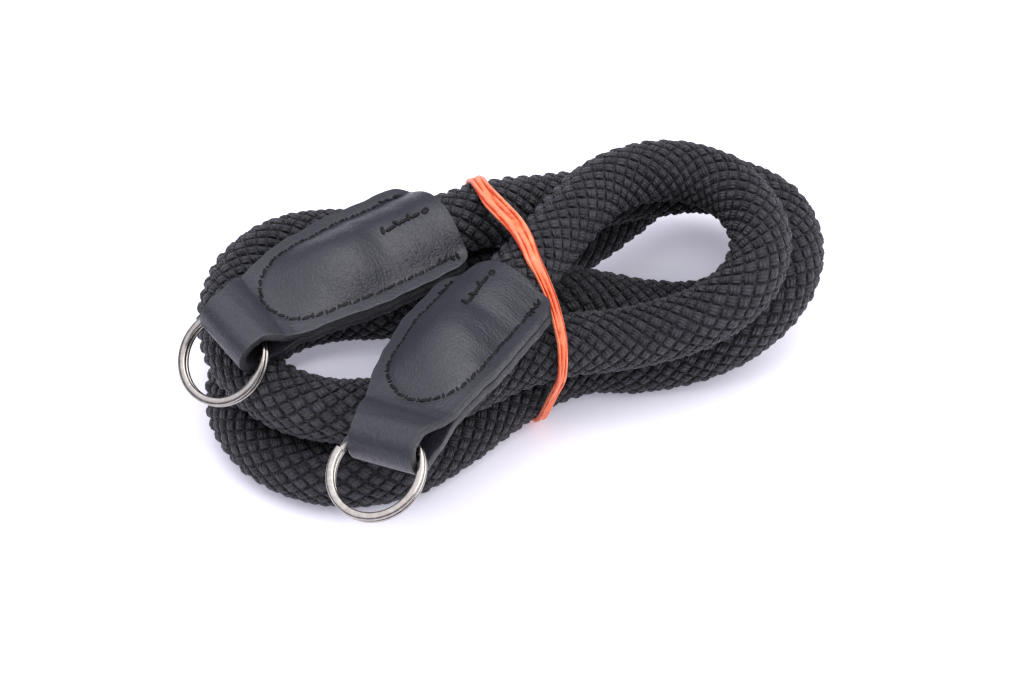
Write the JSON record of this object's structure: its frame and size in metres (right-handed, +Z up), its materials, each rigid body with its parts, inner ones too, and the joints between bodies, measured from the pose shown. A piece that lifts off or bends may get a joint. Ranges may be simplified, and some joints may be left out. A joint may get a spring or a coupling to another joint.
{
  "type": "rope camera strap with tie band",
  "caption": "Round braided rope strap in a tied hank, with folded leather end tabs that each hold a split ring.",
  "frame": {"origin": "middle of the hank's box, on the surface that the rope lies on", "axes": "+Z up, +X towards the three right loops, -Y towards the side where both tabs and rings lie"},
  "size_m": [0.1398, 0.1338, 0.0482],
  "materials": {
    "rope": "braided matt yarn",
    "tab_leather": "satin, fine grain",
    "ring_nickel": "bright nickel plate",
    "band_rubber": "satin translucent"
  },
  "bodies": {
    "root": {"rope": "rope", "end_tab_a": "tab_leather", "end_tab_b": "tab_leather", "split_ring_a": "ring_nickel", "split_ring_b": "ring_nickel", "tie_band": "band_rubber"}
  },
  "joints": []
}
